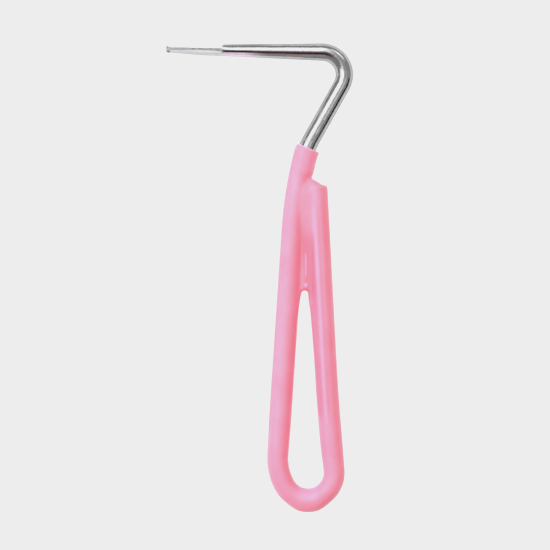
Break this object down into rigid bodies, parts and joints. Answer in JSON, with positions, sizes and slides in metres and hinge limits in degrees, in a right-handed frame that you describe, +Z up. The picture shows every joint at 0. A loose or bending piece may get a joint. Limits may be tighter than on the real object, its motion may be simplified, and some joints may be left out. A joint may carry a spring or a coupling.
{
  "type": "hoof pick",
  "caption": "Steel hoof pick: one bent plated rod with a flat chisel blade, welded into a loop handle and dipped in soft pink vinyl.",
  "frame": {"origin": "under the middle of the outline, on the surface that the tool lies on", "axes": "+Z up from that surface, +Y along the tool from the loop towards the hook, +X across the tool, away from the blade"},
  "size_m": [0.0644, 0.1618, 0.0082],
  "materials": {
    "plated_steel": "bright nickel plate, worn at the blade",
    "weld_steel": "as welded",
    "pink_vinyl": "smooth, satin gloss"
  },
  "bodies": {
    "root": {"steel_rod": "plated_steel", "weld_front": "weld_steel", "weld_back": "weld_steel", "vinyl_grip": "pink_vinyl"}
  },
  "joints": []
}
